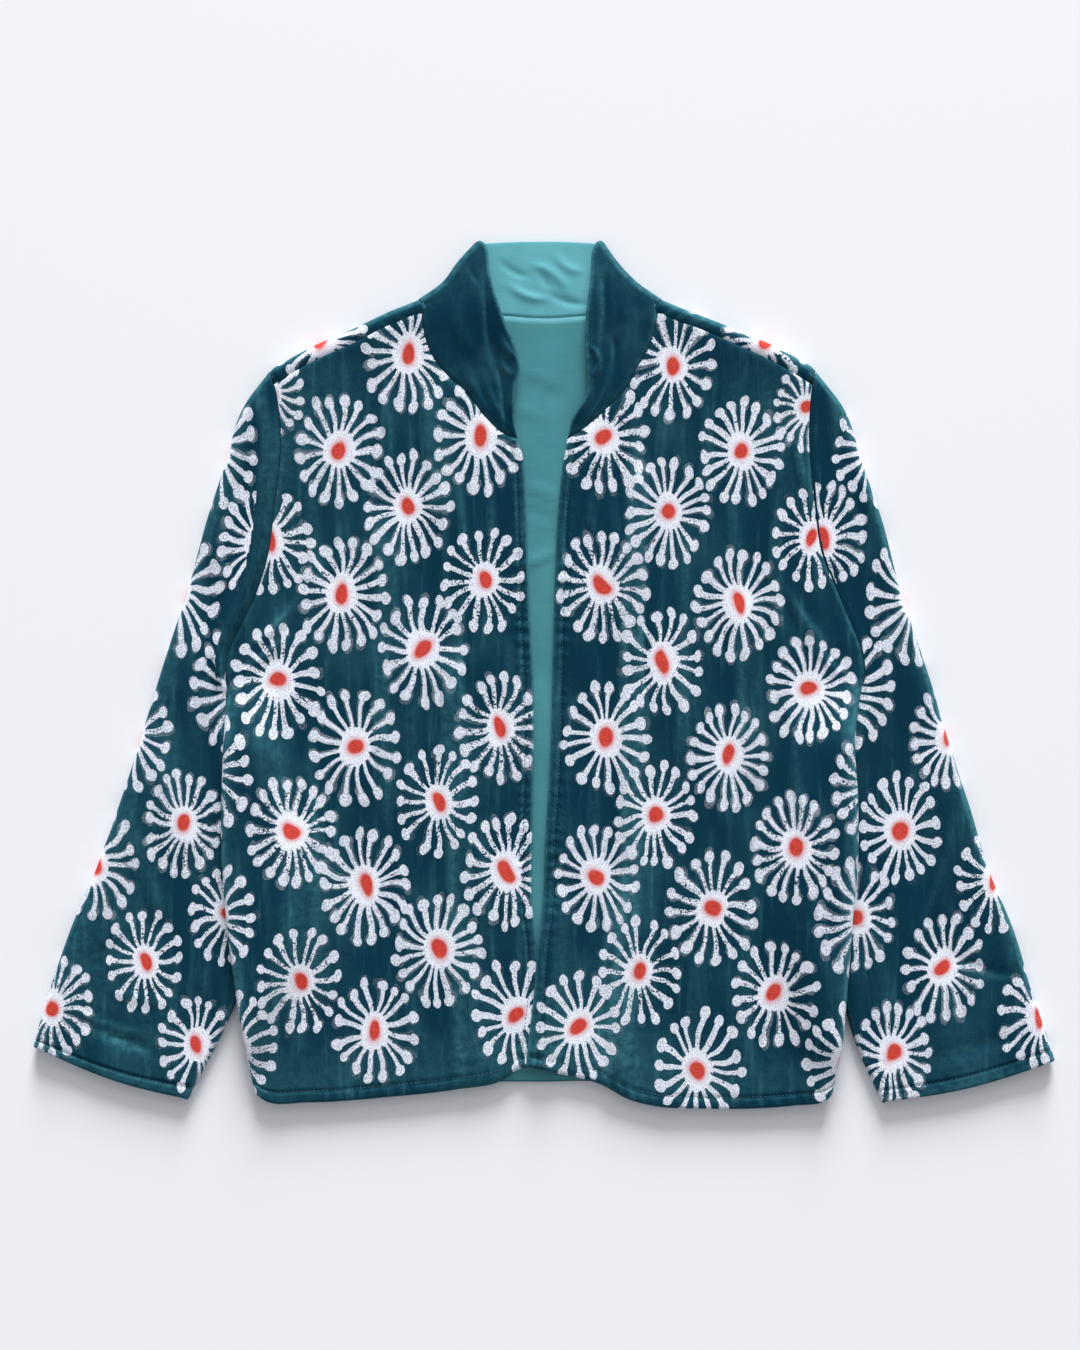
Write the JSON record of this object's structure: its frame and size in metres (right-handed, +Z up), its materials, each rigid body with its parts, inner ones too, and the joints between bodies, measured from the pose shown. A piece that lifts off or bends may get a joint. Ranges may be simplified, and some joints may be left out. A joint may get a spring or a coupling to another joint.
{
  "type": "velvet jacket",
  "caption": "Boxy open-front velvet jacket with a plain stand collar and a starburst flower print, laid out flat on its back with its sleeves at its sides.",
  "frame": {"origin": "on the surface under the middle of the laid-out jacket", "axes": "+X across the jacket to the right of someone looking down at it with the collar away from them, +Y from hem to collar, +Z up from the surface"},
  "size_m": [0.8184, 0.6971, 0.0211],
  "materials": {
    "printed_velvet": "cut pile with a printed starburst flower",
    "plain_velvet": "cut pile",
    "lining": "fine plain weave"
  },
  "bodies": {
    "root": {"back": "printed_velvet", "back_lining": "lining", "front_left": "printed_velvet", "front_right": "printed_velvet", "sleeve_left": "printed_velvet", "sleeve_right": "printed_velvet", "collar": "plain_velvet", "collar_lining": "lining"}
  },
  "joints": []
}
